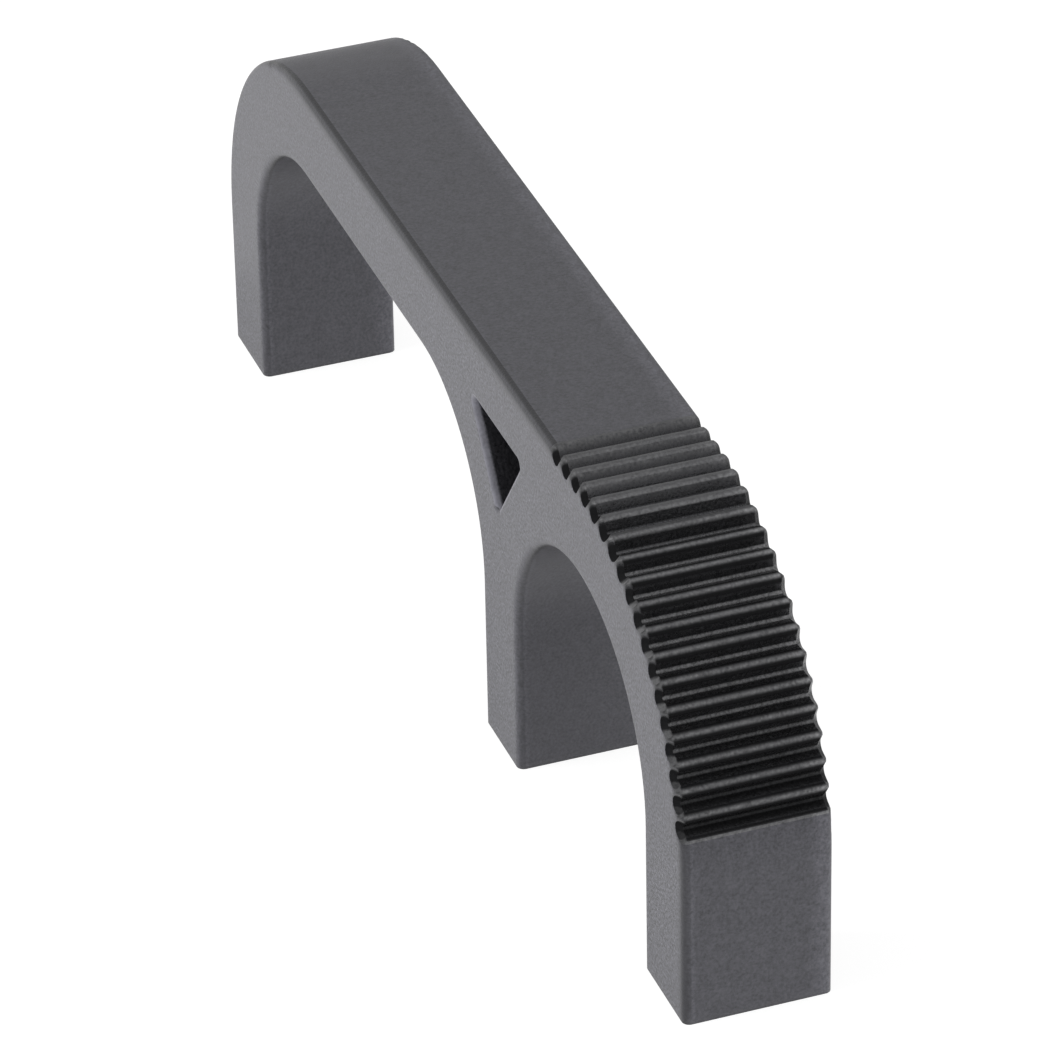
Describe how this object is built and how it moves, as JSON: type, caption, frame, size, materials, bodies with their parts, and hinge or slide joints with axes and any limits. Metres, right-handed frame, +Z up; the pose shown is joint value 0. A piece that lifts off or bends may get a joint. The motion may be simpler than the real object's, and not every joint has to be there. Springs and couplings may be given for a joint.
{
  "type": "finger pull",
  "caption": "Moulded bridge pull handle with a ribbed round shoulder, a long and a short finger opening, and a small triangular window in the web between them.",
  "frame": {"origin": "middle of the length and of the width, on the plane of the feet", "axes": "+X along the bar towards the ribbed end, +Y across the bar, +Z up from the feet to the bar"},
  "size_m": [0.1366, 0.015, 0.0443],
  "materials": {
    "body": "matte, fine grained"
  },
  "bodies": {
    "root": {"pull": "body"}
  },
  "joints": []
}
